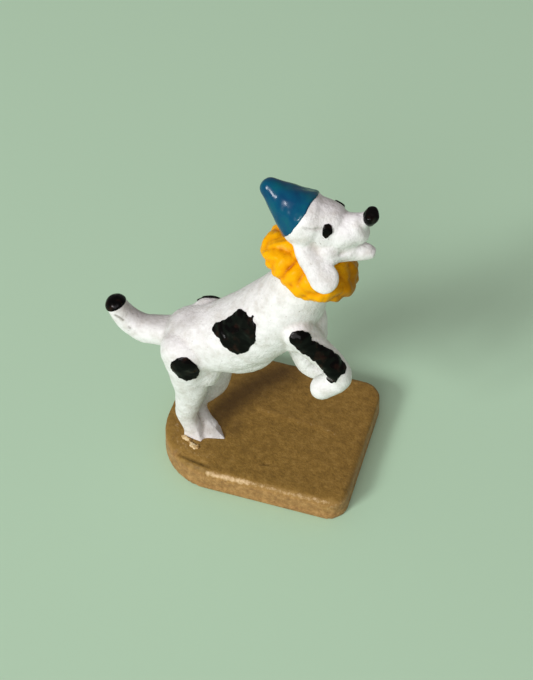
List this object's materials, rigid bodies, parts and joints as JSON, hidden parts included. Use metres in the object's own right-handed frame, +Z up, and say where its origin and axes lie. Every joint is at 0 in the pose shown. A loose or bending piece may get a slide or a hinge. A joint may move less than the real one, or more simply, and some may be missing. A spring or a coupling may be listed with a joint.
{
  "type": "lead toy circus dog",
  "caption": "Painted cast lead dog in a pointed cap and ruff, rearing on its hind legs on a thick slab base.",
  "frame": {"origin": "centre of the slab's flat underside, on the surface that the figure stands on", "axes": "+Z up, +X along the slab from the dog's tail towards its nose, +Y towards the dog's left side"},
  "size_m": [0.0288, 0.0186, 0.0414],
  "materials": {
    "white_paint": "off-white hobby paint on cast lead, eggshell",
    "black_enamel": "thick black enamel dabs, glossy",
    "teal_enamel": "teal blue enamel, glossy",
    "amber_paint": "amber yellow paint with darker orange in the folds, semi-gloss",
    "brown_paint": "olive brown paint, worn paler along the edges, semi-matt"
  },
  "bodies": {
    "root": {"slab_base": "brown_paint", "foot_filler": "brown_paint", "torso": "white_paint", "right_hind_leg": "white_paint", "left_hind_leg": "white_paint", "right_foreleg": "white_paint", "left_foreleg": "white_paint", "tail": "white_paint", "head": "white_paint", "lower_jaw": "white_paint", "right_ear": "white_paint", "left_ear": "white_paint", "cap": "teal_enamel", "ruff": "amber_paint", "nose": "black_enamel", "right_eye": "black_enamel", "left_eye": "black_enamel", "tail_tip": "black_enamel", "right_flank_spot": "black_enamel", "left_flank_spot": "black_enamel", "right_thigh_spot": "black_enamel", "left_thigh_spot": "black_enamel", "right_foreleg_stripe": "black_enamel"}
  },
  "joints": []
}
